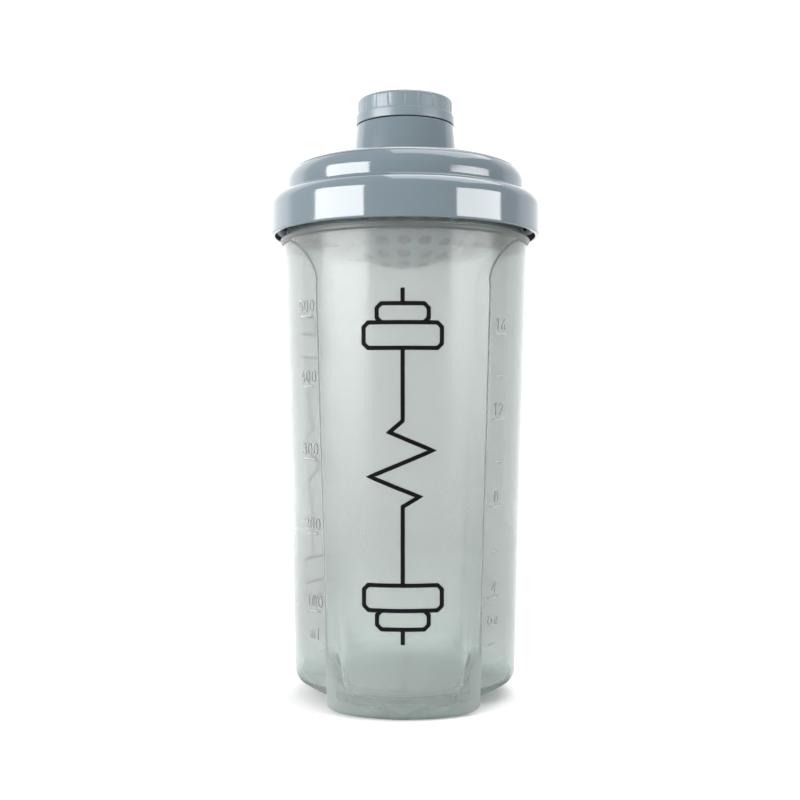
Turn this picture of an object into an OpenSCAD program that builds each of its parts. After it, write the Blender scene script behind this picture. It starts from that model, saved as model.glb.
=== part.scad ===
// Protein shaker bottle: a frosted cup with a four-start screw lid, a sieve that hangs
// under the lid and a small screw cap on the drinking spout. The bottle stands on Z = 0
// with its axis on Z and its printed front facing -Y.

/* [Cup] */
// Outer radius of the cup at the foot
cup_foot_r = 36.8; // [36:0.2:37.6]
// Growth of the outer radius per millimetre of height
cup_flare = 0.029; // [0.026:0.001:0.030]
// Wall thickness of the cup
cup_wall = 1.4; // [1.2:0.1:1.6]
// Height of the floor inside the cup
floor_z = 5.5; // [5:0.25:6.5]
// Radius that rounds the lower edge of the cup
foot_round = 3; // [2.5:0.25:3.5]
// Height of the ledge ring under the neck
ledge_z = 151; // [150.6:0.2:151.2]
// Outer radius of the ledge ring
ledge_r = 41.7; // [41.5:0.1:41.8]

/* [Side panels] */
// Half width of a side panel at the foot
panel_half_w = 27.5; // [26.5:0.25:28.5]
// Growth of that half width per millimetre of height
panel_spread = 0.0193; // [0.012:0.001:0.022]
// Height where a side panel ends
panel_top = 149.2; // [147:0.2:149.4]
// Radius of the panel's upper corners
panel_corner = 15; // [12:1:18]
// Sideways shift of the panel's own axis at the foot
panel_shift = 3.2; // [2.6:0.1:3.6]
// Loss of that shift per millimetre of height
panel_lean = 0.0195; // [0.016:0.0005:0.020]
// Gap between panel and cup radius at the middle of the panel
panel_sink = 0.3; // [0.2:0.05:0.5]
// Radius that rounds the lower corners of the front and the back beside the panels
lobe_corner = 3.2; // [2.6:0.1:3.6]

/* [Neck and thread] */
// Outer radius of the neck
neck_r = 40; // [39.9:0.05:40.1]
// Thickness of the neck wall
neck_wall = 1.5; // [1.3:0.1:1.5]
// Height of the rim of the cup
rim_z = 161.3; // [161.1:0.1:161.4]
// Rise of the lid in one turn
lid_lead = 12; // [11.6:0.1:12.4]
// Radial height of the thread on the neck
neck_thread_h = 1.6; // [1.4:0.1:1.7]

/* [Lid] */
// Outer radius of the skirt
skirt_r = 45; // [44.8:0.1:45.4]
// Height of the lower edge of the skirt
skirt_z = 152.2; // [152:0.1:152.6]
// Wall thickness of the lid
lid_wall = 1.5; // [1.4:0.05:1.6]
// Height of the shoulder above the skirt
shoulder_z = 165.7; // [165.5:0.1:166]
// Rounding of that shoulder
shoulder_round = 4.25; // [4:0.25:4.25]
// Outer radius of the dome
dome_r = 39.7; // [39.6:0.05:39.8]
// Height where the dome begins to round over
dome_z = 169.5; // [169:0.25:170]
// Rounding of the edge of the dome
dome_round = 6; // [5.5:0.25:6.5]
// Slope of the top of the dome, in degrees
dome_slope = 10; // [9:0.5:11]

/* [Spout] */
// Outer radius of the spout where it leaves the dome
spout_foot_r = 17.4; // [17.2:0.1:17.8]
// Outer radius of the spout under the cap
spout_top_r = 16.4; // [16.3:0.1:16.5]
// Height of the step that the cap screws down to
spout_step_z = 189.35; // [189:0.05:189.4]
// Outer radius of the threaded nozzle inside the cap
nozzle_r = 13; // [12.9:0.05:13.1]
// Radius of the drinking hole
mouth_r = 11.2; // [10.8:0.1:11.4]
// Height of the top of the nozzle
nozzle_z = 196.3; // [196.1:0.1:196.4]
// Rise of the cap in one turn
cap_lead = 7.5; // [7.2:0.1:7.8]

/* [Cap] */
// Outer radius of the band around the foot of the cap
cap_band_r = 16.5; // [16.4:0.05:16.6]
// Height of the upper edge of that band
cap_band_z = 192.7; // [192.2:0.1:193.2]
// Outer radius of the cap above the band
cap_r = 15.95; // [15.8:0.05:16]
// Height of the top of the cap
cap_top_z = 198.4; // [198.3:0.1:198.8]
// Thickness of the top of the cap
cap_top_wall = 1.25; // [1.1:0.05:1.3]
// Number of grip grooves around the cap
cap_grooves = 20; // [12:2:28]

/* [Sieve] */
// Radius of the sphere that the bowl is part of
bowl_r = 32; // [31:0.5:33]
// Height of the lowest point of the bowl
bowl_z = 142; // [141:0.5:144]
// Wall thickness of the sieve
sieve_wall = 1.2; // [1:0.1:1.4]
// Radius of one hole
hole_r = 2.3; // [1.8:0.1:2.4]
// Rings of holes around the middle one
hole_rings = 4; // [3:1:4]
// Angle between the rings, in degrees
hole_step = 13; // [12.5:0.5:13.5]

/* [Figures] */
// Height of the middle of the printed figure and of the moulded one
figure_z = 77.5; // [74:0.5:80]
// Height of both figures
figure_h = 108; // [100:2:110]
// Width of the printed figure
print_w = 25; // [20:1:27]
// Width of a printed line
print_line = 1.3; // [1:0.1:1.6]
// Width of the moulded figure
relief_w = 15; // [13:0.5:16]
// Width of a moulded line
relief_line = 0.8; // [0.7:0.1:1]

/* [Hidden] */
$fn = 96;
slack = 0.05;                                  // gap between pieces that only rest on each other
print_in = 0.06;                               // depth of the ink in the wall
print_out = 0.12;                              // height of the ink on the wall
mark_t = 0.15;                                 // height of the moulded marks
mark_w = 0.7;                                  // width of a bar of the scales
scale_a = 40;                                  // angle of the scales from the middle of the panel
relief_a = 26.5;                               // the same for the moulded figure
ml_step = 100;                                 // volume between two bars of the ml scale
oz_step = 2 * 29.57;                           // the same for the oz scale, in ml
lid_starts = 4;
cap_starts = 3;
lid_rib = [0.95, 0.35];                        // half widths of a thread rib at root and crest
cap_rib = [0.7, 0.3];
rib_h = 1.1;                                   // height of the ribs of the nozzle
rib_gap = 0.5;                                 // gap between the crest of a rib and its mate
rib_in = 0.6;                                  // depth of the root of a rib in its wall
thread_a = 10;                                 // direction in which the first ribs stand
neck_thread_z = ledge_z + 5.6;
lid_thread_z = skirt_z + 3.2;
nozzle_thread_z = spout_step_z + 3.2;
cap_thread_z = spout_step_z + 2.6;
neck_in_r = neck_r - neck_wall;
cup_top_z = ledge_z - 1.5;                     // end of the cone of the cup, under the ledge
sieve_z = rim_z + slack;                       // underside of the flange of the sieve
flange_t = 1.1;
flange_r = neck_r - 0.1;
seal_z = sieve_z + flange_t + slack;           // underside of the lid seal
ceiling_z = shoulder_z - lid_wall;             // ceiling over the rim of the cup
seal_t = ceiling_z - slack - seal_z;
skirt_in_r = skirt_r - lid_wall;
dome_in_r = dome_r - lid_wall;
cap_z = spout_step_z + 0.3;                    // lower edge of the cap
cap_in_r = cap_r - 1.15;
cap_ceiling_z = cap_top_z - cap_top_wall;
panel_tilt = atan(panel_lean);
panel_r = cup_foot_r - panel_sink - panel_shift;
panel_flare = cup_flare + panel_lean;

// Points of an arc around c, from angle a0 to a1
function arc(c, r, a0, a1, n = 8) =
    [for (i = [0:n]) c + r * [cos(a0 + (a1 - a0) * i / n), sin(a0 + (a1 - a0) * i / n)]];

function cup_r(z) = cup_foot_r + cup_flare * z;

// Height of the surface when the cup holds v millilitres; the side panels leave the given
// share of the round area
function fill_z(v) =
    let (r0 = cup_r(floor_z) - cup_wall, share = 0.965)
    floor_z + (pow(pow(r0, 3) + 3 * cup_flare * 1000 * v / (PI * share), 1 / 3) - r0) / cup_flare;

// ---- thread ------------------------------------------------------------------------

// Thread of several starts at height z, each start one rib. A rib is an arc that is tipped
// so that it climbs like a helix: its ends lie where the helix has them.
module thread(root_r, crest_r, rib, lead, starts, span, z, a0) {
    match = span / 3;                          // angle where arc and helix meet
    tip = atan(lead * match / 360 / sin(match) / crest_r);
    translate([0, 0, z])
        for (i = [0:starts - 1])
            rotate([0, 0, a0 + 360 * i / starts])
                rotate([tip, 0, 0])
                    rotate([0, 0, -span / 2])
                        rotate_extrude(angle = span)
                            polygon([
                                [root_r, -rib[0]], [crest_r, -rib[1]], [crest_r, rib[1]], [root_r, rib[0]]
                            ]);
}

// Angle that sets a thread at height z midway between the ribs of its mate at height z_mate
function mid_angle(z, z_mate, lead, starts) = 360 * ((z - z_mate) / lead - 0.5 / starts);

// ---- cup ---------------------------------------------------------------------------

// Body of revolution that the front and the back of the cup are part of
module round_body(inset) {
    r_foot = cup_r(foot_round) - inset;
    low = inset > 0 ? floor_z : 0;
    round_r = inset > 0 ? foot_round + 2 : foot_round;
    rotate_extrude()
        polygon(concat(
            [[0, low]],
            arc([r_foot - round_r, low + round_r], round_r, -90, 0),
            [[cup_r(cup_top_z) - inset, cup_top_z], [0, cup_top_z]]
        ));
}

// Body that a side panel is part of: a slimmer cone whose own axis stands off to the side
// and leans back, with a raised foot and a flat cut at both lower corners
module panel_body(inset) {
    r = panel_r - inset;
    top_z = ledge_z + 24;                      // the tilted cone ends well above the cup
    foot = [24.5, 0.8];                        // inner end of the slanted underside
    edge_r = 4;                                // rounding between the side and the underside
    edge_z = 8 + inset;                        // height and angle where the rounding ends
    edge_a = 62;
    cut_a = 49;                                // direction and tilt of the flat cuts
    cut_tilt = 20;
    cut_r = cup_foot_r - 9.6 - inset;          // distance of the cuts from the axis
    cut = [20, 60, 50];
    difference() {
        translate([panel_shift, 0, 0])
            rotate([0, -panel_tilt, 0])
                rotate_extrude()
                    polygon(concat(
                        [[0, foot[1] + inset], foot + [-inset, inset]],
                        arc([r + panel_flare * edge_z - edge_r, edge_z], edge_r, -edge_a, 0, 6),
                        [[r + panel_flare * top_z, top_z], [0, top_z]]
                    ));
        for (s = [-1, 1])
            rotate([0, 0, s * cut_a])
                rotate([0, cut_tilt, 0])
                    translate([cut_r, -cut[1] / 2, -10]) cube(cut);
    }
}

// Outline of a side panel, seen from the side, grown by g; it flares out at the foot
module panel_outline(g) {
    top_w = panel_half_w + panel_spread * panel_top + g;
    flare = [panel_half_w + lobe_corner + g, lobe_corner];
    r = panel_corner + g;
    polygon(concat(
        [[-flare[0], -10], [flare[0], -10]],
        arc(flare, lobe_corner, 270, 180, 6),
        arc([top_w - r, panel_top + g - r], r, 0, 90),
        arc([r - top_w, panel_top + g - r], r, 90, 180),
        arc([-flare[0], flare[1]], lobe_corner, 0, -90, 6)
    ));
}

// Outside of the cup below the neck, or its inside when inset is the wall thickness
module cup_shape(inset)
    difference() {
        round_body(inset);
        for (s = [0, 180])
            rotate(s)
                difference() {
                    rotate([90, 0, 90]) linear_extrude(height = 2 * neck_r) panel_outline(inset * 0.8);
                    panel_body(inset);
                }
    }

// Bar of the moulded scale on the panel that faces +X, at the angle a from +X
module scale_bar(z, a, w)
    rotate([0, 0, a])
        translate([panel_mark_r(z) - 1, -w / 2, z - mark_w / 2]) cube([1 + mark_t, w, mark_w]);

// Radius of the panel surface at the scale
function panel_mark_r(z) =
    let (a = panel_shift - panel_lean * z, r = panel_r + panel_flare * z, t = scale_a)
    a * cos(t) + sqrt(r * r - pow(a * sin(t), 2));

module scales() {
    long = 5;
    short = 3;
    for (i = [1:5])
        rotate(180) scale_bar(fill_z(ml_step * i), scale_a, long);
    for (i = [1:8])
        scale_bar(fill_z(oz_step * i), -scale_a, i % 2 == 0 ? long : short);
}

module cup() {
    z1 = cup_top_z;
    color("#B9C4BF")
        difference() {
            union() {
                cup_shape(0);
                rotate_extrude()
                    polygon([
                        [neck_in_r - 1, z1 - 4], [cup_r(z1) - 0.4, z1 - 4], [cup_r(z1) - 0.4, z1],
                        [ledge_r, z1 + 0.4], [ledge_r, ledge_z], [neck_r, ledge_z + 0.7],
                        [neck_r, rim_z - 0.3], [neck_r - 0.3, rim_z], [neck_in_r - 1, rim_z]
                    ]);
                thread(neck_r - rib_in, neck_r + neck_thread_h, lid_rib, lid_lead, lid_starts, 80,
                    neck_thread_z, thread_a);
                scales();
                relief();
            }
            cup_shape(cup_wall);
            rotate_extrude()
                polygon([
                    [0, z1 - 6], [cup_r(z1 - 6) - cup_wall, z1 - 6], [cup_r(z1) - cup_wall - 0.2, z1 - 1],
                    [neck_in_r, z1 + 1.6], [neck_in_r, rim_z + 1], [0, rim_z + 1]
                ]);
            foot_recess();
        }
}

// Hollow under the floor of the cup
module foot_recess()
    rotate_extrude()
        polygon([[0, -1], [29.5, -1], [29.2, 0], [27.6, floor_z - 2], [0, floor_z - 2]]);

// ---- sieve -------------------------------------------------------------------------

module sieve() {
    c = bowl_z + bowl_r;
    collar_h = 4;                              // ring that centres the sieve in the neck
    collar_r = neck_in_r - 0.4;
    collar_wall = 1.1;
    drill = 8;
    color("#8C9BA6")
        difference() {
            union() {
                intersection() {
                    translate([0, 0, c]) sphere(r = bowl_r);
                    cylinder(r = flange_r - 6, h = sieve_z + flange_t);
                }
                translate([0, 0, sieve_z]) cylinder(r = flange_r, h = flange_t);
                translate([0, 0, sieve_z - collar_h])
                    difference() {
                        cylinder(r = collar_r, h = collar_h + slack);
                        translate([0, 0, -1]) cylinder(r = collar_r - collar_wall, h = collar_h + 2);
                    }
            }
            translate([0, 0, c]) sphere(r = bowl_r - sieve_wall);
            translate([0, 0, c])
                for (k = [0:hole_rings], i = [0:max(0, 6 * k - 1)])
                    rotate([0, 180 - hole_step * k, 60 * i / max(k, 1) + 30 * (k % 2)])
                        translate([0, 0, bowl_r - drill / 2]) cylinder(r = hole_r, h = drill);
        }
}

// ---- lid ---------------------------------------------------------------------------

// Height of the top of the dome at radius r
function dome_top_z(r) =
    dome_z + dome_round * cos(dome_slope)
    + (dome_r - dome_round + dome_round * sin(dome_slope) - r) * tan(dome_slope);

module lid() {
    dome_c = [dome_r - dome_round, dome_z];
    rim = 0.7;                                 // rounding of the lower edge
    fillet = skirt_r - shoulder_round - dome_r;  // fillet where the dome meets the shoulder
    corner = 1.5;                              // rounding in the corner over the rim of the cup
    root = 1.4;                                // fillet where the spout meets the dome
    root_z = dome_top_z(spout_foot_r + root);
    outside = concat(
        [[skirt_in_r, skirt_z]],
        arc([skirt_r - rim, skirt_z + rim], rim, 270, 360, 4),
        arc([skirt_r - shoulder_round, shoulder_z - shoulder_round], shoulder_round, 0, 90),
        arc([dome_r + fillet, shoulder_z + fillet], fillet, 270, 180, 5),
        arc(dome_c, dome_round, 0, 90 - dome_slope),
        arc([spout_foot_r + root, root_z + root], root, 270 - dome_slope, 180, 5),
        [[spout_top_r, spout_step_z - 0.3], [spout_top_r - 0.3, spout_step_z]],
        [[nozzle_r, spout_step_z], [nozzle_r, nozzle_z - 0.5], [nozzle_r - 0.5, nozzle_z]]
    );
    inside = concat(
        [[mouth_r + 0.3, nozzle_z], [mouth_r, nozzle_z - 0.3], [mouth_r, spout_step_z - lid_wall]],
        [[spout_top_r - lid_wall - 0.6, spout_step_z - lid_wall]],
        [[spout_top_r - lid_wall, spout_step_z - lid_wall - 0.6]],
        [[spout_foot_r - lid_wall, dome_top_z(spout_foot_r) - lid_wall]],
        arc(dome_c, dome_round - lid_wall, 90 - dome_slope, 0),
        [[dome_in_r, ceiling_z]],
        arc([skirt_in_r - corner, ceiling_z - corner], corner, 90, 0, 4)
    );
    color("#8595A2") {
        rotate_extrude() polygon(concat(outside, inside));
        thread(skirt_in_r + rib_in, neck_r + rib_gap, lid_rib, lid_lead, lid_starts, 70, lid_thread_z,
            thread_a + mid_angle(lid_thread_z, neck_thread_z, lid_lead, lid_starts));
        thread(nozzle_r - rib_in, nozzle_r + rib_h, cap_rib, cap_lead, cap_starts, 100,
            nozzle_thread_z, thread_a);
    }
}

// ---- seals and cap -----------------------------------------------------------------

module washer(r_in, r_out, z, t)
    rotate_extrude() translate([r_in, z]) square([r_out - r_in, t]);

module lid_seal() color("#D9DCDD") washer(dome_in_r + 0.1, skirt_in_r - 1.6, seal_z, seal_t);

module cap_seal()
    color("#D9DCDD")
        washer(mouth_r + 0.3, cap_in_r - 0.3, nozzle_z + slack, cap_ceiling_z - nozzle_z - 2 * slack);

module spout_cap() {
    edge = 1.3;                                // rounding of the top edge
    groove_w = 0.9;
    groove_d = 0.15;
    groove_z = cap_band_z + 0.7;
    shell = concat(
        [[cap_band_r - 1.2, cap_z], [cap_band_r - 0.2, cap_z], [cap_band_r, cap_z + 0.2]],
        [[cap_band_r, cap_band_z - 0.2], [cap_band_r - 0.2, cap_band_z], [cap_r, cap_band_z + 0.15]],
        arc([cap_r - edge, cap_top_z - edge], edge, 0, 90, 6),
        [[0, cap_top_z], [0, cap_ceiling_z], [cap_in_r, cap_ceiling_z], [cap_in_r, cap_z + 1.4]]
    );
    color("#A3AFB8") {
        difference() {
            rotate_extrude() polygon(shell);
            for (i = [0:cap_grooves - 1])
                rotate(360 * i / cap_grooves)
                    translate([cap_r - groove_d, -groove_w / 2, groove_z])
                        cube([2, groove_w, cap_top_z - edge - groove_z]);
        }
        thread(cap_in_r + rib_in, nozzle_r + rib_gap, cap_rib, cap_lead, cap_starts, 90, cap_thread_z,
            thread_a + mid_angle(cap_thread_z, nozzle_thread_z, cap_lead, cap_starts));
    }
}

// ---- figure ------------------------------------------------------------------------

module cut_box(w, h, k)
    polygon([
        [-w / 2 + k, -h / 2], [w / 2 - k, -h / 2], [w / 2, -h / 2 + k], [w / 2, h / 2 - k],
        [w / 2 - k, h / 2], [-w / 2 + k, h / 2], [-w / 2, h / 2 - k], [-w / 2, -h / 2 + k]
    ]);

// Ring-shaped outline of a box with chamfered corners, centred on c
module box_line(c, w, h, line) {
    k = w * 0.064;
    translate(c)
        difference() {
            cut_box(w, h, k);
            cut_box(w - 2 * line, h - 2 * line, k * 0.7);
        }
}

// Straight line from a to b
module stroke(a, b, line) {
    d = b - a;
    translate(a) rotate(atan2(d[1], d[0])) translate([-line / 2, -line / 2])
        square([norm(d) + line, line]);
}

// Upright dumbbell with a pulse line as its bar
module figure(w, line) {
    plate = 9;                                 // heights of the large and the small weight
    small = 7;
    knob = 4;                                  // length of the bar beyond the weights
    end = figure_h / 2 - knob;
    y0 = end - small - plate + line;
    u = w / 25;
    for (s = [-1, 1]) {
        box_line([0, s * (end - small / 2)], w * 0.68, small, line);
        box_line([0, s * (y0 + plate / 2)], w, plate, line);
        stroke([0, s * end], [0, s * (figure_h / 2 - line / 2)], line);
    }
    pulse = [[0, y0], [0, 14], [-4 * u, 10.5], [9 * u, 5], [-10 * u, -3], [5 * u, -9], [0, -12], [0, -y0]];
    for (i = [0:len(pulse) - 2]) stroke(pulse[i], pulse[i + 1], line);
}

// Moulded figure on the rear half of the panel that faces -X
module relief()
    rotate(180)
        intersection() {
            panel_body(-mark_t);
            rotate(-relief_a) translate([20, 0, figure_z])
                rotate([90, 0, 90]) linear_extrude(height = 30) figure(relief_w, relief_line);
        }

module front_print()
    color("#15171A")
        intersection() {
            rotate_extrude()
                polygon([
                    [cup_r(10) - print_in, 10], [cup_r(10) + print_out, 10],
                    [cup_r(145) + print_out, 145], [cup_r(145) - print_in, 145]
                ]);
            translate([0, 0, figure_z])
                rotate([90, 0, 0]) linear_extrude(height = 60) figure(print_w, print_line);
        }

cup();
sieve();
lid();
lid_seal();
spout_cap();
cap_seal();
front_print();
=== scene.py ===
"""Looks of the protein shaker bottle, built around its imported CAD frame.

Lengths in this file are millimetres in the frame of the CAD part, with the bottle's axis on Z
and its printed front facing -Y, until make_mesh() turns them into metres.
"""
import math

import bpy
import numpy as np
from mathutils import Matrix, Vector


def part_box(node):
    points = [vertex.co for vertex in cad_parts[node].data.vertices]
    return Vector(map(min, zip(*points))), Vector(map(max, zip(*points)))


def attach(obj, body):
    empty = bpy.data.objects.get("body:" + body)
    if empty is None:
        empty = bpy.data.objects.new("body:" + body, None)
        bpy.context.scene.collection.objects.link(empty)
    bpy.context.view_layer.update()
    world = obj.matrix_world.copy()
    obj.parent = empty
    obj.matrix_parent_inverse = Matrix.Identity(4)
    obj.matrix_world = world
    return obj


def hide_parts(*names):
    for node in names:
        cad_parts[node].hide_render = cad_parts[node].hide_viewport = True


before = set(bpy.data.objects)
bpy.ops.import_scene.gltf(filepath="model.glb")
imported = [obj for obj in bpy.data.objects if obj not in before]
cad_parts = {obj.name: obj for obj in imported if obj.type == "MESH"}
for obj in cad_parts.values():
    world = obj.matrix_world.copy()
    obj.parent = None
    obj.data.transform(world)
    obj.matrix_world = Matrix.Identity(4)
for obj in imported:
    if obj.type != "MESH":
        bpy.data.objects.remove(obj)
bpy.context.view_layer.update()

SCENE = bpy.context.scene
MM = 0.001

# ---- sizes -----------------------------------------------------------------------------


def box_mm(node):
    """Lowest and highest corner of a CAD node, in millimetres."""
    low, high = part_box(node)
    return np.array(low) / MM, np.array(high) / MM


CUP_HIGH = box_mm("cup")[1]
LID_LOW, LID_HIGH = box_mm("lid")
CAP_LOW, CAP_HIGH = box_mm("spout_cap")
PRINT_LOW, PRINT_HIGH = box_mm("front_print")

# Cup
FOOT_R = 36.8
FLARE = 0.029
WALL = 1.4
FLOOR_Z = 5.5
FOOT_ROUND = 3.0
FLOOR_ROUND = 5.0
RECESS = [(29.2, 0.0), (27.6, FLOOR_Z - 2.0)]
LEDGE_Z = 151.0
LEDGE_R = CUP_HIGH[1]
NECK_R = 40.0
NECK_WALL = 1.5
RIM_Z = CUP_HIGH[2]
INNER_TOP_Z = 145.3         # where the inner wall turns into the neck

# Side panels, recessed in the cup on +X and -X
PANEL_HALF_W = 27.5
PANEL_SPREAD = 0.0193
PANEL_TOP = 149.2
PANEL_CORNER = 15.0
PANEL_SHIFT = 3.2
PANEL_LEAN = 0.0195
PANEL_SINK = 0.3
PANEL_R = FOOT_R - PANEL_SINK - PANEL_SHIFT
PANEL_FLARE = FLARE + PANEL_LEAN
PANEL_FOOT = (24.5, 0.8)
PANEL_EDGE_R = 4.0
PANEL_EDGE_Z = 8.0
PANEL_EDGE_A = math.radians(62)
CUT_A = math.radians(49)
CUT_TILT = math.radians(20)
CUT_R = FOOT_R - 9.6
LOBE_CORNER = 3.2
STEP_HALF = 0.5             # half width of the rounded step between front and side panel
INNER_STEP_HALF = 2.2       # the same inside the cup, where the step is softer
STEP_A = math.radians(48.3) # direction of that step from the middle of the panel
FACET_TOP = 32.0            # height up to which the flat cuts deepen the step

# Lid, spout and cap
SKIRT_R = LID_HIGH[0]
SKIRT_Z = LID_LOW[2]
LID_WALL = 1.5
SHOULDER_Z = 165.7
DOME_R = 39.7
DOME_Z = 169.5
DOME_ROUND = 6.0
SHOULDER_ROUND = 4.25
SKIRT_RIM = 0.7
DOME_SLOPE = math.radians(10)
SPOUT_FOOT_R = 17.4
SPOUT_TOP_R = 16.4
SPOUT_STEP_Z = 189.35
NOZZLE_R = 13.0
MOUTH_R = 11.2
NOZZLE_Z = LID_HIGH[2]
CAP_BAND_R = CAP_HIGH[0]
CAP_BAND_Z = 192.7
CAP_R = 15.95
CAP_Z = CAP_LOW[2]
CAP_TOP_Z = CAP_HIGH[2]
CAP_TOP_WALL = 1.25
CAP_GROOVES = 20
GROOVE_HALF = 0.55          # half width of a groove
GROOVE_DEPTH = 0.14
GROOVE_END = 0.8            # length over which a groove runs out

# Threads: rise in one turn, number of starts, half widths of a rib at its root and crest
LID_LEAD, LID_STARTS = 12.0, 4
CAP_LEAD, CAP_STARTS = 7.5, 3
LID_RIB = (0.95, 0.35)
CAP_RIB = (0.7, 0.3)
ROOT_IN = 0.3               # depth of a root in its wall
THREAD_A = 10               # direction in which the first rib stands
NECK_THREAD_Z = LEDGE_Z + 5.6
LID_THREAD_Z = SKIRT_Z + 3.2
NOZZLE_THREAD_Z = SPOUT_STEP_Z + 3.2
CAP_THREAD_Z = SPOUT_STEP_Z + 2.6

# Figures
FIGURE_Z = (PRINT_LOW[2] + PRINT_HIGH[2]) / 2
FIGURE_H = PRINT_HIGH[2] - PRINT_LOW[2]
PRINT_W = PRINT_HIGH[0] - PRINT_LOW[0]
RELIEF_W = 15.0
MARK_T = 0.15
RELIEF_FROST = 1.0          # how matt the moulded figures are, where the front is 1
RELIEF_SHADE = 0.85          # how much painted shade darkens them, where the edge of a panel is 1; it also makes them rougher
LEDGE_SHADE = 0.6            # painted shade on the ledge under the lid's skirt, on the same scale
MATT = 2.0                  # how matt the floor of the cup is
TOP_FROST = 0.45            # how matt the top of the front is, where it lets the sieve show
SCALE_A = 40.0              # direction of the scales from the middle of the panel
RELIEF_A = 26.5             # the same for the moulded figure
ML_STEP = 100               # volume between two bars of the millilitre scale
OZ_STEP = 2 * 29.57         # the same for the ounce scale, in millilitres
ROUND_SHARE = 0.965         # share of the round area that the side panels leave
MARK_W = 0.7                # width of a bar
MARK_IN = -0.05             # how far figures reach into the wall
NUMERAL_H = 3.4

# Camera and light, in metres and degrees
CAMERA_AWAY = 0.3708        # distance from the axis of the bottle
CAMERA_Z = 0.09775
CAMERA_ASIDE = 0.0017       # shift to the left, so that the bottle stands right of the middle
CAMERA_TURN = 1.3           # direction of the camera from the front, towards +X
LENS = 49.5                 # for a sensor 36 mm wide
LIGHT_AWAY = 0.9
BACKDROP = 2.2              # radiance of the backdrop, where the room is 1

# Lid plastic
LID_LIGHT = (0.082, 0.105, 0.121)
LID_DARK = (0.075, 0.098, 0.113)
# painted shade on the inside of the lid
LID_INSIDE_SHADE = (0.020, 0.034, 0.038)

# Cup plastic
CUP_LIGHT = (0.560, 0.565, 0.560)
CUP_DARK = (0.530, 0.538, 0.532)
# painted light: the paler colour towards the foot stands for light from the white floor
CUP_FOOT_FLOOR_LIGHT = (0.665, 0.705, 0.685)
# painted shade: dark colour that the edge value mixes in at the steps to the side panels, on the ledge under
# the lid and on the moulded figures
CUP_EDGE_SHADE = (0.20, 0.23, 0.225)
CUP_DEPTH_TINT = (0.35, 0.55, 0.50)
CUP_DENSITY = 150
CUP_TRANSMISSION = 0.85
CUP_IOR = 1.25
FROST_ROUGH = 0.26
CLEAR_ROUGH = 0.10
EDGE_ROUGH = 0.4            # added where the step to a side panel is


# ---- meshes ----------------------------------------------------------------------------


def make_mesh(name, verts, faces, material, sharp=40, **values):
    """Mesh object from points in millimetres, with named values at its points for the material."""
    mesh = bpy.data.meshes.new(name)
    mesh.from_pydata((np.asarray(verts, float) * MM).tolist(), [], faces)
    mesh.materials.append(material)
    for key, value in values.items():
        mesh.attributes.new(key, "FLOAT", "POINT").data.foreach_set("value", value)
    mesh.validate()
    mesh.shade_smooth()
    mesh.set_sharp_from_angle(angle=math.radians(sharp))
    obj = bpy.data.objects.new(name, mesh)
    SCENE.collection.objects.link(obj)
    return obj


def fit(obj, body, slot, *nodes):
    """Lets obj stand for CAD nodes and ride on a body; slot is not used."""
    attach(obj, body)
    if nodes:
        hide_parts(*nodes)
    return obj


class Shape:
    """Collects points and faces of one piece."""

    def __init__(self):
        self.verts, self.faces = [], []

    def grid(self, rows, wrap_rows=False):
        """Adds quads between closed rows of points. A row of one point is a pole."""
        index, start = [], len(self.verts)
        for row in rows:
            index.append(range(start, start + len(row)))
            start += len(row)
            self.verts += [tuple(p) for p in row]
        pairs = list(zip(index, index[1:])) + ([(index[-1], index[0])] if wrap_rows else [])
        for a, b in pairs:
            n = max(len(a), len(b))
            for i in range(n):
                j = (i + 1) % n
                quad = [a[i % len(a)], a[j % len(a)], b[j % len(b)], b[i % len(b)]]
                self.faces.append(tuple(dict.fromkeys(quad)))

    def bar(self, rows):
        """Adds a bar through closed rows of points, with a face at both ends."""
        self.grid(rows)
        size = len(rows[0])
        last = len(self.verts) - size
        first = last - size * (len(rows) - 1)
        self.faces.append(tuple(range(first + size - 1, first - 1, -1)))
        self.faces.append(tuple(range(last, last + size)))

    def make(self, name, material, sharp=40, **values):
        return make_mesh(name, self.verts, self.faces, material, sharp, **values)


def rounded(corners, step=12):
    """Closed outline in (r, z) from corners (r, z, radius), with an arc at each corner."""
    points = []
    count = len(corners)
    for i, (x, y, radius) in enumerate(corners):
        p = np.array([x, y], float)
        a = np.array(corners[i - 1][:2], float) - p
        b = np.array(corners[(i + 1) % count][:2], float) - p
        la, lb = np.linalg.norm(a), np.linalg.norm(b)
        if radius <= 0 or la == 0 or lb == 0:
            points.append(p)
            continue
        a, b = a / la, b / lb
        half = math.acos(max(-1, min(1, float(a @ b)))) / 2
        reach = min(radius / math.tan(half), 0.98 * la, 0.98 * lb)
        radius = reach * math.tan(half)
        centre = p + (a + b) / np.linalg.norm(a + b) * radius / math.sin(half)
        start, end = p + a * reach - centre, p + b * reach - centre
        a0, a1 = math.atan2(start[1], start[0]), math.atan2(end[1], end[0])
        turn = (a1 - a0 + math.pi) % (2 * math.pi) - math.pi
        n = max(2, int(math.degrees(abs(turn)) / step) + 1)
        for t in np.linspace(a0, a0 + turn, n + 1):
            points.append(centre + radius * np.array([math.cos(t), math.sin(t)]))
    return points


def supported(points, gap=0.4):
    """Adds points close to both ends of long straight parts, so that these stay flat when shaded."""
    out = []
    for p, q in zip(points, points[1:] + points[:1]):
        out.append(p)
        length = np.linalg.norm(q - p)
        if length > 6 * gap:
            out += [p + (q - p) * gap / length, q - (q - p) * gap / length]
    return out


def turned(shape, outline, n=192):
    """Adds the body that an (r, z) outline sweeps around Z."""
    outline = supported(outline)
    a = np.linspace(0, 2 * math.pi, n, endpoint=False)
    rows = []
    for r, z in outline:
        if r < 1e-6:
            rows.append([(0.0, 0.0, z)])
        else:
            rows.append(np.stack([r * np.cos(a), r * np.sin(a), np.full(n, z)], 1))
    shape.grid(rows, wrap_rows=True)


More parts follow.
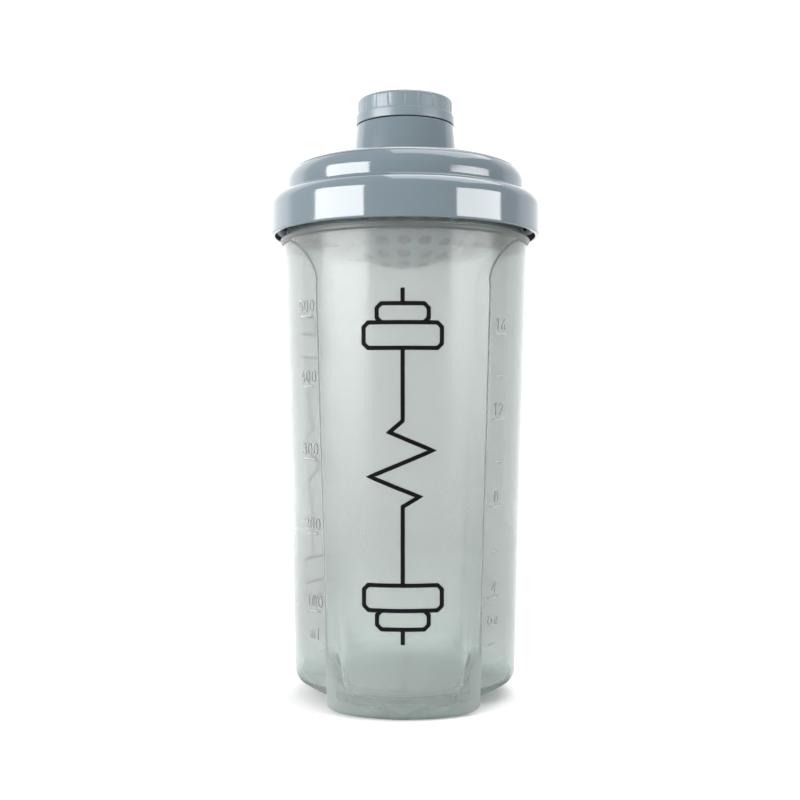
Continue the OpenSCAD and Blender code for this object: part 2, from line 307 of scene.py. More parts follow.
def thread(shape, root_r, crest_r, rib, lead, starts, span, z, a0):
    """Adds helical ribs whose ends run out into the wall."""
    root_w, crest_w = rib
    n = 40
    for start in range(starts):
        rows = []
        for i in range(n + 1):
            t = i / n - 0.5
            a = math.radians(a0 + 360 * start / starts + span * t)
            height = min(1.0, (0.5 - abs(t)) * n / 5 + 0.02)
            zc = z + lead * span * t / 360
            r = root_r + (crest_r - root_r) * height
            soft = 0.25 * (crest_r - root_r)
            ring = [
                (root_r, -root_w), (r - soft * height, -crest_w * 1.5), (r, -crest_w * 0.7),
                (r, crest_w * 0.7), (r - soft * height, crest_w * 1.5), (root_r, root_w),
            ]
            rows.append([(q * math.cos(a), q * math.sin(a), zc + w) for q, w in ring])
        shape.bar(rows)


def mid_angle(z, z_mate, lead, starts):
    """Angle that sets a thread at height z midway between the ribs of its mate."""
    return 360 * ((z - z_mate) / lead - 0.5 / starts)


# ---- cup walls -------------------------------------------------------------------------


def cup_r(z):
    return FOOT_R + FLARE * z


def round_outline(inset):
    """Radius of the round body by height, as two arrays."""
    low = FLOOR_Z if inset else 0.0
    radius = FLOOR_ROUND if inset else FOOT_ROUND
    r = cup_r(FOOT_ROUND) - inset
    a = np.radians(np.linspace(-90, 0, 25))
    zs = np.append(low + radius + radius * np.sin(a), LEDGE_Z)
    rs = np.append(r - radius + radius * np.cos(a), cup_r(LEDGE_Z) - inset)
    return zs, rs


def panel_outline(inset):
    """Radius of the body that a side panel is part of, by height along its own axis."""
    z_edge = PANEL_EDGE_Z + inset
    r = PANEL_R - inset
    centre = r + PANEL_FLARE * z_edge - PANEL_EDGE_R
    a = np.linspace(-PANEL_EDGE_A, 0, 20)
    zs = np.concatenate([[PANEL_FOOT[1] + inset], z_edge + PANEL_EDGE_R * np.sin(a), [175]])
    rs = np.concatenate([[PANEL_FOOT[0] - inset], centre + PANEL_EDGE_R * np.cos(a), [r + PANEL_FLARE * 175]])
    return zs, rs


def outside_round(r, z, inset):
    zs, rs = round_outline(inset)
    return np.maximum(r - np.interp(z, zs, rs), zs[0] - z)


def outside_panel(r, z, a, inset):
    """Above zero outside the body of the panel that faces +X; a is the angle from +X."""
    x, y = r * np.cos(a), r * np.abs(np.sin(a))
    tilt = math.atan(PANEL_LEAN)
    own_x = (x - PANEL_SHIFT) * math.cos(tilt) + z * math.sin(tilt)
    own_z = z * math.cos(tilt) - (x - PANEL_SHIFT) * math.sin(tilt)
    zs, rs = panel_outline(inset)
    body = np.maximum(np.hypot(own_x, y) - np.interp(own_z, zs, rs), zs[0] - own_z)
    along = x * math.cos(CUT_A) + y * math.sin(CUT_A)
    cut = along * math.cos(CUT_TILT) - z * math.sin(CUT_TILT) - (CUT_R - inset)
    return soft_max(body, cut, 0.25)


def smooth(x):
    """Smooth step from 0 to 1 while x runs from 0 to 1."""
    x = np.clip(x, 0, 1)
    return x * x * (3 - 2 * x)


def soft_max(a, b, k):
    """Larger of two values, rounded over where they are closer than k."""
    h = np.maximum(k - np.abs(a - b), 0) / k
    return np.maximum(a, b) + h * h * k / 4


def beside_panel(y, z, inset):
    """Distance outside the outline of a side panel, below zero inside it."""
    y = np.abs(y)
    grow = inset * 0.8
    half = PANEL_HALF_W + PANEL_SPREAD * z + grow
    foot = np.clip(LOBE_CORNER - z, 0, LOBE_CORNER)
    half = half + LOBE_CORNER - np.sqrt(LOBE_CORNER ** 2 - foot ** 2)
    top_half = PANEL_HALF_W + PANEL_SPREAD * PANEL_TOP + grow
    top = PANEL_TOP + grow
    r = PANEL_CORNER + grow
    qy, qz = y - top_half + r, z - top + r
    corner = np.hypot(np.maximum(qy, 0), np.maximum(qz, 0)) + np.minimum(np.maximum(qy, qz), 0) - r
    return np.where(qz > 0, corner, y - half)


def body_points(ray, a, inset, panel):
    """Points of the round body, or of the panel's body in it, on rays in the directions a from X."""
    pivot_r, pivot_z, dr, dz = ray
    near, far = np.zeros_like(a), np.full_like(a, 46.0)
    for _ in range(34):
        t = (near + far) / 2
        r, z = pivot_r + dr * t, pivot_z + dz * t
        out = outside_round(r, z, inset)
        if panel:
            out = np.maximum(out, outside_panel(r, z, a, inset))
        near, far = np.where(out > 0, near, t), np.where(out > 0, t, far)
    r = pivot_r + dr * near
    return np.stack([r * np.cos(a), r * np.sin(a), pivot_z + dz * near], 1)


def step_angles(ray, inset):
    """Directions in which the panel's body and the round body meet the outline of the panel."""
    if ray[1] > FACET_TOP:
        return STEP_A, STEP_A
    a = np.radians(np.linspace(30, 75, 91))
    found = []
    for panel in (True, False):
        p = body_points(ray, a, inset, panel)
        found.append(float(np.interp(0, beside_panel(p[:, 1], p[:, 2], inset), a)))
    return found


def wall_points(ray, angles, centre, at_panel, at_round, inset):
    """Points of the wall, each one's share of front, and how far it is on the edge of the step, where a dark
    line is painted shade.
    """
    a = fold(angles)
    size, sign = np.abs(a), np.sign(a)
    past = size - centre
    quarter = math.pi / 2
    a_panel = np.where(past < 0, size * at_panel / centre, at_panel + past)
    squeeze = (quarter - at_round) / (quarter - centre)
    a_round = np.where(past < 0, at_round + past, quarter - (quarter - size) * squeeze)
    low = body_points(ray, sign * a_panel, inset, True)
    high = body_points(ray, sign * a_round, inset, False)
    side = (beside_panel(low[:, 1], low[:, 2], inset) + beside_panel(high[:, 1], high[:, 2], inset)) / 2
    s = smooth(side / (2 * (INNER_STEP_HALF if inset else STEP_HALF)) + 0.5)
    depth = np.linalg.norm(high - low, axis=1)
    # edge: painted shade of a dark line along the step, which also roughens it
    edge = np.clip(16 * s * (1 - s), 0, 1) * np.clip(2 / np.maximum(depth, 0.1), 0, 1)
    points = low + (high - low) * s[:, None]
    facing = np.where((angles + 90) % 360 < 180, 1.0, -1.0)
    points[:, 0] *= facing
    points[:, 1] *= facing
    return points, s, edge


def wall_rows(inset):
    """Rays that the rows of the cup's surface lie on: (pivot r, pivot z, dr, dz)."""
    pivot = (26.0, 14.5) if inset else (30.0, 9.0)
    rays = []
    if not inset:
        rays += [(RECESS[0][0] + 0.1, pivot[1], 0.0, -1.0)]
    for b in np.radians(np.concatenate([np.linspace(-90, -66, 5), np.linspace(-63, 0, 26)])):
        rays.append((pivot[0], pivot[1], math.cos(b), math.sin(b)))
    heights = np.concatenate([
        np.arange(pivot[1] + 1.2, 22, 1.5), np.arange(23, 133, 3.0), np.arange(133.4, 149.3, 0.5),
    ])
    rays += [(0.0, z, 1.0, 0.0) for z in heights]
    return rays


def column_angles(centre):
    """Angles from the X axis in one quarter, packed close around the step at centre."""
    return np.concatenate([
        np.linspace(0, centre - 4.5, 44, endpoint=False),
        np.linspace(centre - 4.5, centre + 4.5, 60, endpoint=False),
        np.linspace(centre + 4.5, 90, 24, endpoint=False),
    ])


def around(quarter):
    """Four mirrored quarters of angles around the bottle, from +X over +Y."""
    a = np.append(quarter, 90.0)
    half = np.concatenate([a[:-1], 180 - a[::-1][:-1]])
    return np.concatenate([half, half + 180])


def fold(angles):
    """Angle from the nearer X axis, in radians, between -90 and 90 degrees."""
    a = (angles + 90) % 180 - 90
    return np.radians(a)


def surface(inset):
    """Rows of the cup's wall below the ledge, from the foot up, with their shares of front and of painted
    edge shade.
    """
    rows, shares, edge_shades = [], [], []
    for ray in wall_rows(inset):
        at_panel, at_round = step_angles(ray, inset)
        centre = min(math.radians(72), (at_panel + at_round) / 2)
        angles = around(column_angles(math.degrees(centre)))
        points, share, edge = wall_points(ray, angles, centre, at_panel, at_round, inset)
        rows.append(points)
        shares.append(share)
        edge_shades.append(edge)
    return rows, shares, edge_shades


def ring(r, z):
    t = np.radians(around(column_angles(math.degrees(STEP_A))))
    return np.stack([r * np.cos(t), r * np.sin(t), np.full(len(t), float(z))], 1)


def bottom_ring(rows, r, z):
    """Ring that keeps the angles of the foot's first row."""
    t = np.arctan2(rows[0][:, 1], rows[0][:, 0])
    return np.stack([r * np.cos(t), r * np.sin(t), np.full(len(t), float(z))], 1)


def neck_outline():
    """Ledge, neck and rim of the cup as points (r, z), from the outer wall over the rim to the inner one."""
    inner = NECK_R - NECK_WALL
    return rounded([
        (cup_r(149.3), 149.3, 0), (cup_r(LEDGE_Z - 1.5) - 0.02, LEDGE_Z - 1.5, 0),
        (LEDGE_R, LEDGE_Z - 1.1, 0.35), (LEDGE_R, LEDGE_Z, 0.3), (NECK_R, LEDGE_Z + 0.7, 0.5),
        (NECK_R, RIM_Z, 0.4), (inner, RIM_Z, 0.4), (inner, LEDGE_Z + 0.1, 2.5),
        (cup_r(144) - WALL, 145.6, 0),
    ], 18)[1:-1]


def recess_rows(outer):
    """Rows of the recess in the underside, from the foot inwards."""
    foot = bottom_ring(outer, RECESS[0][0] - 0.15, 0.0)
    foot[:, 2] = outer[0][:, 2] + 0.12
    corner = bottom_ring(outer, RECESS[1][0] + 0.15, RECESS[1][1] - 0.5)
    return [foot, corner, bottom_ring(outer, RECESS[1][0] - 0.4, RECESS[1][1])]


def build_cup(plastic_wall):
    outer, share, outer_edge_shade = surface(0.0)
    inner, inner_share, _edge = surface(WALL)
    inner = [row for row in inner if row[:, 2].max() < INNER_TOP_Z]
    neck = [ring(r, z) for r, z in neck_outline()]
    under = [[(0.0, 0.0, RECESS[1][1])]] + recess_rows(outer)[::-1]
    shape = Shape()
    shape.grid(under + outer + neck + inner[::-1] + [[(0.0, 0.0, FLOOR_Z)]])
    thread(shape, NECK_R - ROOT_IN, NECK_R + 1.6, LID_RIB, LID_LEAD, LID_STARTS, 80,
           NECK_THREAD_Z, THREAD_A)
    reliefs = len(shape.verts)
    add_reliefs(shape)
    z = np.array(shape.verts)[:, 2]

    # runs of points, in the order in which they were added
    front, inside = np.concatenate(share), np.concatenate(inner_share[:len(inner)][::-1])
    wall_at = sum(len(row) for row in under)
    neck_at = wall_at + len(front)
    inner_at = neck_at + sum(len(row) for row in neck)
    wall, ledge = slice(wall_at, neck_at), slice(neck_at, inner_at)
    inner_wall, low = slice(inner_at, inner_at + len(inside)), slice(inner_at, reliefs)
    frost, edge = np.zeros(len(z)), np.zeros(len(z))
    frost[:wall_at] = MATT
    frost[wall] = front * (1 - (1 - TOP_FROST) * smooth((z[wall] - 112) / 30))
    frost[reliefs:] = RELIEF_FROST
    frost[inner_wall] = inside * smooth((140 - z[inner_wall]) / 50)
    frost[low] = np.where(z[low] < FLOOR_Z + FLOOR_ROUND * 0.8, MATT, frost[low])
    # edge values are painted shade: at the steps to the side panels, on the ledge under the lid and on the
    # moulded figures
    edge[wall] = np.concatenate(outer_edge_shade)
    # painted shade on the ledge just under the lid's skirt
    edge[ledge] = LEDGE_SHADE * (z[ledge] < LEDGE_Z + 0.5)
    # painted shade on the moulded figures
    edge[reliefs:] = RELIEF_SHADE
    cup = shape.make("cup_body", plastic_wall, 50, frost=frost, edge=edge)
    return fit(cup, "cup", "cup_frosted", "cup")


# ---- figures on the walls --------------------------------------------------------------


def panel_frame(side, angle):
    """Maps (u, z, lift) to the side panel on +X or -X, seen along a direction at that angle from X."""
    t = math.radians(angle)
    direction = np.array([math.cos(t), math.sin(t)])
    across = np.array([-math.sin(t), math.cos(t)])

    def place(u, z, lift):
        centre = np.array([PANEL_SHIFT - PANEL_LEAN * z, 0.0])
        radius = PANEL_R + PANEL_FLARE * z + lift
        start = across * u - centre
        b = start @ direction
        s = -b + math.sqrt(max(0.0, b * b - start @ start + radius ** 2))
        p = across * u + direction * s
        return (side * p[0], side * p[1], z)

    return place


def front_frame(u, z, lift):
    """Maps (u, z, lift) to the round front, seen along Y."""
    r = cup_r(z) + lift
    return (u, -math.sqrt(r * r - u * u), z)


def ribbon(shape, path, width, low, high, place, closed=False):
    """Adds a line of a figure: a low bar with chamfered edges along points (u, z)."""
    path = np.array(path, float)
    if not closed:
        path[0] -= unit(path[1] - path[0]) * width / 2
        path[-1] += unit(path[-1] - path[-2]) * width / 2
    count = len(path)
    rows = []
    for i, p in enumerate(path):
        before = path[i - 1] if (i or closed) else p
        after = path[(i + 1) % count] if (i < count - 1 or closed) else p
        t0 = unit(p - before) if i or closed else unit(after - p)
        t1 = unit(after - p) if i < count - 1 or closed else t0
        normal = unit(np.array([-(t0 + t1)[1], (t0 + t1)[0]]))
        stretch = 1 / max(0.5, normal @ np.array([-t0[1], t0[0]]))
        h = width / 2 * stretch
        edge = min(0.3, (high - low) * 0.6)
        flat = 1 - edge / h
        section = (
            (-1, low), (-1, high - edge), (-flat, high), (flat, high), (1, high - edge), (1, low),
        )
        row = []
        for k, lift in section:
            q = p + normal * h * k
            row.append(place(q[0], q[1], lift))
        rows.append(row)
    if closed:
        shape.grid(rows, wrap_rows=True)
    else:
        shape.bar(rows)


def unit(v):
    return v / max(1e-9, float(np.linalg.norm(v)))


def dense(path, step):
    """Adds points so that no stretch of the path is longer than step."""
    out = []
    for a, b in zip(path, path[1:]):
        a, b = np.array(a, float), np.array(b, float)
        n = max(1, int(math.ceil(np.linalg.norm(b - a) / step)))
        out += [a + (b - a) * i / n for i in range(n)]
    return out + [np.array(path[-1], float)]


def cut_box(w, h, k):
    return [
        (-w / 2 + k, -h / 2), (w / 2 - k, -h / 2), (w / 2, -h / 2 + k), (w / 2, h / 2 - k),
        (w / 2 - k, h / 2), (-w / 2 + k, h / 2), (-w / 2, h / 2 - k), (-w / 2, -h / 2 + k),
    ]


def figure(shape, w, line, low, high, place):
    """Adds the upright dumbbell with a pulse line as its bar."""
    plate, small, knob = 9.0, 7.0, 4.0
    end = FIGURE_H / 2 - knob
    y0 = end - small - plate + line
    u = w / 25

    def add(path, closed=False):
        path = [(x, FIGURE_Z + y) for x, y in path]
        if closed:
            path = dense(path + [path[0]], 2.0)[:-1]
        else:
            path = dense(path, 2.0)
        ribbon(shape, path, line, low, high, place, closed)

    for s in (-1, 1):
        for centre, width, height in ((end - small / 2, w * 0.68, small), (y0 + plate / 2, w, plate)):
            outline = cut_box(width - line, height - line, w * 0.055)
            add([(x, y + s * centre) for x, y in outline], closed=True)
        add([(0, s * (end + line / 2)), (0, s * (FIGURE_H / 2 - line / 2))])
    pulse = [(0, y0), (0, 14), (-4, 10.5), (9, 5), (-10, -3), (5, -9), (0, -12), (0, -y0)]
    add([(x * u, y) for x, y in pulse])


def arc_path(cx, cy, rx, ry, a0, a1, n=14):
    t = np.radians(np.linspace(a0, a1, n))
    return [(cx + rx * math.cos(v), cy + ry * math.sin(v)) for v in t]


def glyph(char):
    """Strokes of a plain numeral or unit letter in a box 0.6 wide and 1 high."""
    if char == "0":
        return [arc_path(0.3, 0.5, 0.27, 0.5, 90, 450, 24)]
    if char == "1":
        return [[(0.1, 0.78), (0.34, 1.0), (0.34, 0.0)]]
    if char == "2":
        return [arc_path(0.3, 0.72, 0.27, 0.28, 165, -35) + [(0.03, 0.0), (0.58, 0.0)]]
    if char == "3":
        return [arc_path(0.28, 0.75, 0.24, 0.25, 150, -80), arc_path(0.28, 0.27, 0.28, 0.27, 85, -150)]
    if char == "4":
        return [[(0.46, 0.0), (0.46, 1.0), (0.02, 0.3), (0.6, 0.3)]]
    if char == "5":
        return [[(0.54, 1.0), (0.1, 1.0), (0.06, 0.55)] + arc_path(0.27, 0.31, 0.3, 0.31, 120, -145)]
    if char == "6":
        return [[(0.5, 0.98)] + arc_path(0.3, 0.3, 0.27, 0.3, 150, 510, 22)]
    if char == "8":
        return [arc_path(0.3, 0.75, 0.22, 0.25, 90, 450, 18), arc_path(0.3, 0.26, 0.27, 0.26, 90, 450, 18)]
    if char == "l":
        return [[(0.3, 1.0), (0.3, 0.0)]]
    if char == "o":
        return [arc_path(0.3, 0.32, 0.27, 0.32, 90, 450, 20)]
    if char == "m":
        arches = [arc_path(0.15, 0.45, 0.15, 0.18, 180, 0, 8), arc_path(0.45, 0.45, 0.15, 0.18, 180, 0, 8)]
        return [[(0.0, 0.62), (0.0, 0.0)], arches[0] + [(0.3, 0.0)], arches[1] + [(0.6, 0.0)]]
    return [[(0.05, 0.62), (0.55, 0.62), (0.05, 0.0), (0.55, 0.0)]]


def numeral(shape, word, z, height, place):
    pitch = 0.86 * height
    width = pitch * (len(word) - 1) + 0.6 * height
    for i, char in enumerate(word):
        left = -width / 2 + i * pitch
        for stroke in glyph(char):
            path = [(left + x * height, z - height / 2 + y * height) for x, y in stroke]
            ribbon(shape, path, 0.42, MARK_IN, MARK_T * 0.8, place)


def fill_z(volume):
    """Height of the surface when the cup holds that many millilitres."""
    r0 = cup_r(FLOOR_Z) - WALL
    cubic = 3 * FLARE * 1000 * volume / (math.pi * ROUND_SHARE)
    return FLOOR_Z + ((r0 ** 3 + cubic) ** (1 / 3) - r0) / FLARE


def scale_bar(shape, z, half, place):
    ribbon(shape, dense([(-half, z), (half, z)], 1.0), MARK_W, MARK_IN, MARK_T, place)


def add_reliefs(shape):
    """Moulded scales on both side panels and the moulded figure on the rear of one."""
    ml_place = panel_frame(-1, SCALE_A)
    oz_place = panel_frame(1, -SCALE_A)
    above = 3.2                                # from a bar to the middle of its numeral
    long, short = 2.5, 1.5                     # half lengths of the bars
    for i in range(1, 6):
        z = fill_z(ML_STEP * i)
        scale_bar(shape, z, long, ml_place)
        numeral(shape, str(ML_STEP * i), z + above, NUMERAL_H, ml_place)
    for i in range(1, 9):
        z = fill_z(i * OZ_STEP)
        scale_bar(shape, z, long if i % 2 == 0 else short, oz_place)
        if i % 2 == 0:
            numeral(shape, str(2 * i), z + above, NUMERAL_H, oz_place)
    numeral(shape, "ml", fill_z(ML_STEP) - 7, NUMERAL_H, ml_place)
    numeral(shape, "oz", fill_z(60) + 8, NUMERAL_H, oz_place)
    figure(shape, RELIEF_W, 0.8, MARK_IN, MARK_T, panel_frame(-1, -RELIEF_A))


def build_print(ink):
    shape = Shape()
    figure(shape, PRINT_W, 1.3, 0.03, 0.11, front_frame)
    return fit(shape.make("printed_figure", ink), "cup", "ink_black", "front_print")


# ---- lid, cap, sieve, seals ------------------------------------------------------------


def dome_top_z(r):
    return (
        DOME_Z + DOME_ROUND * math.cos(DOME_SLOPE)
        + (DOME_R - DOME_ROUND + DOME_ROUND * math.sin(DOME_SLOPE) - r) * math.tan(DOME_SLOPE)
    )


def build_lid(gloss):
    shape = Shape()
    skirt_in = SKIRT_R - LID_WALL
    ceiling = SHOULDER_Z - LID_WALL
    step = SPOUT_STEP_Z - LID_WALL
    turned(shape, rounded([
        (skirt_in, SKIRT_Z, 0.35), (SKIRT_R, SKIRT_Z, SKIRT_RIM), (SKIRT_R, SHOULDER_Z, SHOULDER_ROUND),
        (DOME_R, SHOULDER_Z, SKIRT_R - SHOULDER_ROUND - DOME_R), (DOME_R, dome_top_z(DOME_R), DOME_ROUND),
        (SPOUT_FOOT_R, dome_top_z(SPOUT_FOOT_R), 1.4), (SPOUT_TOP_R, SPOUT_STEP_Z, 0.35),
        (NOZZLE_R, SPOUT_STEP_Z, 0.3), (NOZZLE_R, NOZZLE_Z, 0.5), (MOUTH_R, NOZZLE_Z, 0.4),
        (MOUTH_R, step, 0.5), (SPOUT_TOP_R - LID_WALL, step, 0.8),
        (SPOUT_FOOT_R - LID_WALL, dome_top_z(SPOUT_FOOT_R) - LID_WALL, 1.0),
        (DOME_R - LID_WALL, dome_top_z(DOME_R) - LID_WALL, DOME_ROUND - LID_WALL),
        (DOME_R - LID_WALL, ceiling, 0.3), (skirt_in, ceiling, 1.5),
    ], 7), 256)
    thread(shape, skirt_in + ROOT_IN, NECK_R + 0.5, LID_RIB, LID_LEAD, LID_STARTS, 70,
           LID_THREAD_Z, THREAD_A + mid_angle(LID_THREAD_Z, NECK_THREAD_Z, LID_LEAD, LID_STARTS))
    thread(shape, NOZZLE_R - ROOT_IN, NOZZLE_R + 1.1, CAP_RIB, CAP_LEAD, CAP_STARTS, 100,
           NOZZLE_THREAD_Z, THREAD_A)
    # points inside the lid, which get painted shade and a duller finish
    points = np.array(shape.verts)
    r, z = np.hypot(points[:, 0], points[:, 1]), points[:, 2]
    cavity = np.where(z < ceiling + 0.1, skirt_in + 0.1, DOME_R - LID_WALL)
    under = z < np.where(z < ceiling + 0.1, SHOULDER_Z, dome_top_z(r) - LID_WALL / 2)
    inside = ((r < cavity) & under) | (r < MOUTH_R + 0.1)
    return fit(shape.make("lid_shell", gloss, inside=inside.astype(float)), "lid", "lid_gloss", "lid")


def build_cap(satin):
    shape = Shape()
    inner = CAP_R - 1.15
    ceiling = CAP_TOP_Z - CAP_TOP_WALL
    outline = rounded([
        (0, CAP_TOP_Z, 0), (CAP_R, CAP_TOP_Z, 1.3), (CAP_R, CAP_BAND_Z + 0.1, 0.15),
        (CAP_BAND_R, CAP_BAND_Z, 0.25), (CAP_BAND_R, CAP_Z, 0.25), (CAP_BAND_R - 1.2, CAP_Z, 0.15),
        (inner, CAP_Z + 1.4, 0.2), (inner, ceiling, 0.5), (0, ceiling, 0),
    ], 10)
    outline = dense_outline(outline, 0.8)
    n = 480
    a = np.linspace(0, 2 * math.pi, n, endpoint=False)
    turn = (a * CAP_GROOVES / (2 * math.pi) + 0.5) % 1 - 0.5
    groove = smooth(1 - np.abs(turn) * 2 * math.pi * CAP_R / CAP_GROOVES / GROOVE_HALF)
    rows = []
    for r, z in outline:
        if r < 1e-6:
            rows.append([(0.0, 0.0, z)])
            continue
        depth = 0.0
        if r > CAP_R - 0.6:
            rise = (z - CAP_BAND_Z - 0.5) / GROOVE_END
            fall = (CAP_TOP_Z - 0.9 - z) / GROOVE_END
            depth = GROOVE_DEPTH * max(0.0, min(1.0, rise, fall))
        radius = r - depth * groove
        rows.append(np.stack([radius * np.cos(a), radius * np.sin(a), np.full(n, z)], 1))
    shape.grid(rows)
    thread(shape, inner + ROOT_IN, NOZZLE_R + 0.5, CAP_RIB, CAP_LEAD, CAP_STARTS, 90,
           CAP_THREAD_Z, THREAD_A + mid_angle(CAP_THREAD_Z, NOZZLE_THREAD_Z, CAP_LEAD, CAP_STARTS))
    return fit(shape.make("cap_shell", satin), "spout_cap", "cap_plastic", "spout_cap")


def dense_outline(points, step):
    out = dense([tuple(p) for p in points], step)
    return [(float(p[0]), float(p[1])) for p in out]


def build_seals(rubber):
    low, high = box_mm("lid_seal")
    shape = Shape()
    inner = DOME_R - LID_WALL + 0.1
    turned(shape, rounded([
        (inner, low[2], 0.3), (high[0], low[2], 0.3), (high[0], high[2], 0.3), (inner, high[2], 0.3),
    ]))
    fit(shape.make("lid_seal_ring", rubber), "lid_seal_body", "seal_rubber", "lid_seal")
    low, high = box_mm("cap_seal")
    shape = Shape()
    inner = MOUTH_R + 0.3
    turned(shape, rounded([
        (inner, low[2], 0.2), (high[0], low[2], 0.2), (high[0], high[2], 0.2), (inner, high[2], 0.2),
    ]), 128)
    fit(shape.make("cap_seal_ring", rubber), "cap_seal_body", "seal_rubber", "cap_seal")


# ---- materials -------------------------------------------------------------------------


class Nodes:
    """Short way to write a node tree."""

    def __init__(self, name):
        self.material = bpy.data.materials.new(name)
        self.material.use_nodes = True
        self.tree = self.material.node_tree
        self.shader = self.tree.nodes["Principled BSDF"]

    def add(self, kind, **values):
        node = self.tree.nodes.new(kind)
        for key, value in values.items():
            if key in node.inputs:
                node.inputs[key].default_value = value
            else:
                setattr(node, key, value)
        return node

    def link(self, a, b):
        self.tree.links.new(a, b)

    def noise(self, scale, detail=3.0, stretch=(1, 1, 1), rough=0.5):
        place = self.add("ShaderNodeTexCoord")
        mapping = self.add("ShaderNodeMapping")
        mapping.inputs["Scale"].default_value = stretch
        self.link(place.outputs["Object"], mapping.inputs["Vector"])
        noise = self.add("ShaderNodeTexNoise", Scale=scale, Detail=detail, Roughness=rough)
        self.link(mapping.outputs["Vector"], noise.inputs["Vector"])
        return noise.outputs["Fac"]

    def ramp(self, value, low, high, out_low, out_high):
        node = self.add("ShaderNodeMapRange")
        for key, number in (("From Min", low), ("From Max", high), ("To Min", out_low), ("To Max", out_high)):
            node.inputs[key].default_value = number
        self.link(value, node.inputs["Value"])
        return node.outputs["Result"]

    def mix(self, fac, a, b):
        """Mixes two colours, each an (r, g, b) or the output of a node."""
        node = self.add("ShaderNodeMix", data_type="RGBA")
        sockets = [s for s in node.inputs if s.type == "RGBA"]
        for socket, colour in zip(sockets, (a, b)):
            if isinstance(colour, tuple):
                socket.default_value = (*colour, 1)
            else:
                self.link(colour, socket)
        self.link(fac, node.inputs[0])
        return next(s for s in node.outputs if s.type == "RGBA")

    def blend(self, fac, a, b):
        node = self.add("ShaderNodeMix", data_type="FLOAT")
        for link, key in ((fac, "Factor"), (a, "A"), (b, "B")):
            self.link(link, next(s for s in node.inputs if s.name == key and s.type == "VALUE"))
        return node.outputs[0]

    def sum(self, a, b):
        node = self.add("ShaderNodeMath", operation="ADD", use_clamp=True)
        self.link(a, node.inputs[0])
        self.link(b, node.inputs[1])
        return node.outputs[0]

    def bump(self, height, strength, distance):
        node = self.add("ShaderNodeBump", Strength=strength, Distance=distance)
        self.link(height, node.inputs["Height"])
        self.link(node.outputs["Normal"], self.shader.inputs["Normal"])
        return node


def finish_plastic(n, rough, spread, grain, grain_depth, shader):
    """Uneven gloss, a fine skin and the shader's constants."""
    gloss = n.ramp(n.noise(60, 5, (1, 1, 0.35)), 0.25, 0.75, rough - spread, rough + spread)
    n.link(gloss, n.shader.inputs["Roughness"])
    n.bump(n.noise(grain, 3), 0.35, grain_depth)
    for key, value in shader.items():
        n.shader.inputs[key.replace("_", " ")].default_value = value


def plastic(name, light, dark, rough, spread, grain, grain_depth, **shader):
    """Moulded plastic: slow colour drift, uneven gloss and a fine skin."""
    n = Nodes(name)
    drift = n.ramp(n.noise(14, 4), 0.3, 0.7, 0, 1)
    n.link(n.mix(drift, light, dark), n.shader.inputs["Base Color"])
    finish_plastic(n, rough, spread, grain, grain_depth, shader)
    return n.material


def cup_plastic():
    """Translucent plastic, matt where the mesh says frost and clear elsewhere, which tints with depth, with
    painted shade where the mesh says edge and painted light towards the foot.
    """
    n = Nodes("cup_plastic")
    frost = n.add("ShaderNodeAttribute", attribute_name="frost").outputs["Fac"]
    # edge sets painted shade, a mix towards the dark edge colour, and adds roughness
    edge = n.add("ShaderNodeAttribute", attribute_name="edge").outputs["Fac"]
    drift = n.ramp(n.noise(9, 3), 0.3, 0.7, 0, 1)
    place = n.add("ShaderNodeTexCoord")
    split = n.add("ShaderNodeSeparateXYZ")
    n.link(place.outputs["Object"], split.inputs[0])
    # painted light from the white floor: the cup turns paler towards the foot
    matt_foot_light = n.ramp(split.outputs["Z"], 0.055, 0.0, 0, 1)
    clear_foot_light = n.ramp(split.outputs["Z"], 0.026, 0.004, 0, 1)
    foot = n.blend(frost, clear_foot_light, matt_foot_light)
    wall = n.mix(foot, n.mix(drift, CUP_LIGHT, CUP_DARK), CUP_FOOT_FLOOR_LIGHT)
    n.link(n.mix(edge, wall, CUP_EDGE_SHADE), n.shader.inputs["Base Color"])
    uneven = n.ramp(n.noise(60, 5, (1, 1, 0.35)), 0.25, 0.75, -0.012, 0.012)
    rough = n.sum(n.ramp(frost, 0, 2, CLEAR_ROUGH, 2 * FROST_ROUGH - CLEAR_ROUGH), uneven)
    n.link(n.sum(rough, n.ramp(edge, 0, 1, 0, EDGE_ROUGH)), n.shader.inputs["Roughness"])
    n.bump(n.noise(1500, 3), 0.35, 0.00005)
    n.shader.inputs["Transmission Weight"].default_value = CUP_TRANSMISSION
    n.shader.inputs["IOR"].default_value = CUP_IOR
    depth = n.add("ShaderNodeVolumeAbsorption", Color=(*CUP_DEPTH_TINT, 1), Density=CUP_DENSITY)
    n.link(depth.outputs[0], n.tree.nodes["Material Output"].inputs["Volume"])
    return n.material


def lid_plastic():
    """Polished outside; the inside is dull like an unpolished mould and painted dark as painted shade."""
    n = Nodes("lid_plastic")
    inside = n.add("ShaderNodeAttribute", attribute_name="inside").outputs["Fac"]
    drift = n.ramp(n.noise(14, 4), 0.3, 0.7, 0, 1)
    outside = n.mix(drift, LID_LIGHT, LID_DARK)
    n.link(n.mix(inside, outside, LID_INSIDE_SHADE), n.shader.inputs["Base Color"])
    gloss = n.ramp(n.noise(60, 5, (1, 1, 0.35)), 0.25, 0.75, 0.06, 0.12)
    n.link(n.sum(gloss, n.ramp(inside, 0, 1, 0, 0.6)), n.shader.inputs["Roughness"])
    n.bump(n.noise(320, 3), 0.35, 0.00002)
    n.shader.inputs["IOR"].default_value = 1.5
    return n.material


